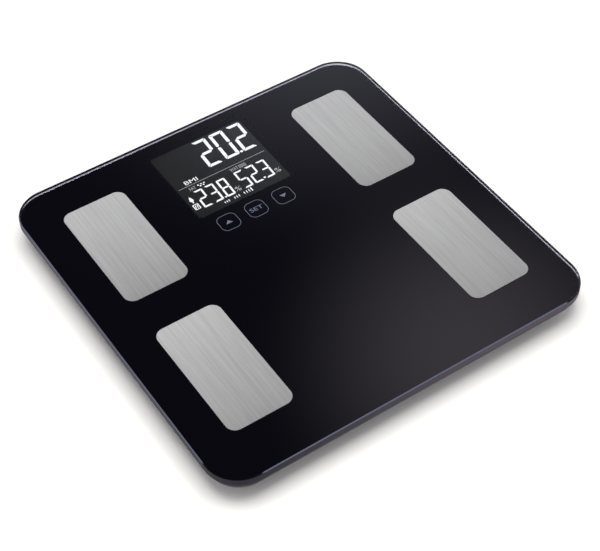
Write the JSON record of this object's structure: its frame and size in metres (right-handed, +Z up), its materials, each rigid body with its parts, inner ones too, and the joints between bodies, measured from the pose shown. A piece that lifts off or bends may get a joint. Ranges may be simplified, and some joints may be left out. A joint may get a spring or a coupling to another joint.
{
  "type": "digital bathroom scale",
  "caption": "Low square glass body scale on a black tray: steel foot electrodes, lit display under the glass, touch keys, load-cell feet and a hinged battery door below.",
  "frame": {"origin": "middle of the footprint, on the surface the rubber soles stand on", "axes": "+Z up through the glass, +Y towards the display end, +X to the right of somebody standing on it and facing the display"},
  "size_m": [0.3, 0.3, 0.0255],
  "materials": {
    "platform_glass": "toughened, polished edges",
    "black_ink": "black print seen through the glass",
    "electrode_steel": "brushed along the plate",
    "load_cell_steel": "bare spring steel",
    "inner_plastic": "black moulding",
    "foot_plastic": "black moulding",
    "foot_rubber": "matt",
    "adhesive_film": "thin film",
    "nickel_plating": "nickel plated",
    "zinc_plating": "zinc plated",
    "bush_nylon": "natural nylon",
    "black_foam": "foam tape",
    "tray_plastic": "black, fine texture below",
    "white_silicone": "soft",
    "board_green": "green solder mask",
    "display_panel": "dark display glass",
    "clear_acrylic": "clear acrylic",
    "white_film": "reflective film",
    "lamp_body": "white lamp",
    "connector_rubber": "layered conductive rubber",
    "chip_black": "epoxy",
    "capacitor_can": "sleeved can",
    "socket_nylon": "ivory nylon",
    "lead_red": "insulated lead",
    "lead_white": "insulated lead",
    "lead_black": "insulated lead",
    "lead_blue": "insulated lead",
    "battery_jacket": "plain printed jacket, steel ends",
    "door_plastic": "black, fine texture",
    "switch_steel": "tinned can",
    "switch_knob_plastic": "grey moulding"
  },
  "bodies": {
    "scale_body": {"back_print": "black_ink", "backlight_guide": "clear_acrylic", "backlight_lamps": "lamp_body", "backlight_reflector": "white_film", "base_tray": "tray_plastic", "battery_cells": "battery_jacket", "battery_contact_plates": "nickel_plating", "battery_contact_springs": "nickel_plating", "battery_lead_black": "lead_black", "battery_lead_red": "lead_red", "board_capacitors": "capacitor_can", "board_chips": "chip_black", "bonding_tape": "black_foam", "circuit_board": "board_green", "circuit_board_screws": "zinc_plating", "display_connector_strip": "connector_rubber", "display_frame": "inner_plastic", "display_front_glass": "display_panel", "display_rear_glass": "display_panel", "electrode_adhesive": "adhesive_film", "electrode_bushes": "bush_nylon", "electrode_leads": "lead_blue", "electrode_plate_back_left": "electrode_steel", "electrode_plate_back_right": "electrode_steel", "electrode_plate_front_left": "electrode_steel", "electrode_plate_front_right": "electrode_steel", "electrode_ring_terminals": "nickel_plating", "electrode_stud_nuts": "zinc_plating", "electrode_studs": "nickel_plating", "foot_shell_back_left": "foot_plastic", "foot_shell_back_right": "foot_plastic", "foot_shell_front_left": "foot_plastic", "foot_shell_front_right": "foot_plastic", "foot_sole_back_left": "foot_rubber", "foot_sole_back_right": "foot_rubber", "foot_sole_front_left": "foot_rubber", "foot_sole_front_right": "foot_rubber", "glass_platform": "platform_glass", "lead_sockets": "socket_nylon", "load_cell_back_left": "load_cell_steel", "load_cell_back_right": "load_cell_steel", "load_cell_cap_back_left": "inner_plastic", "load_cell_cap_back_right": "inner_plastic", "load_cell_cap_front_left": "inner_plastic", "load_cell_cap_front_right": "inner_plastic", "load_cell_cap_screws": "zinc_plating", "load_cell_front_left": "load_cell_steel", "load_cell_front_right": "load_cell_steel", "load_cell_leads_black": "lead_black", "load_cell_leads_red": "lead_red", "load_cell_leads_white": "lead_white", "processor_blob": "chip_black", "strain_gauge_covers": "white_silicone", "touch_key_discs": "nickel_plating", "touch_key_springs": "nickel_plating", "unit_switch_body": "switch_steel"},
    "battery_door": {"battery_door": "door_plastic", "battery_door_foam": "black_foam"},
    "unit_switch": {"unit_switch_knob": "switch_knob_plastic"}
  },
  "joints": [
    {"name": "battery_door_hinge", "type": "hinge", "parent": "scale_body", "child": "battery_door", "pos_m": [0, -0.0415, 0.0057], "axis": [-1, 0, 0], "range_deg": [0, 90]},
    {"name": "unit_switch_slide", "type": "slide", "parent": "scale_body", "child": "unit_switch", "axis": [1, 0, 0], "range_m": [-0.002, 0.002]}
  ]
}
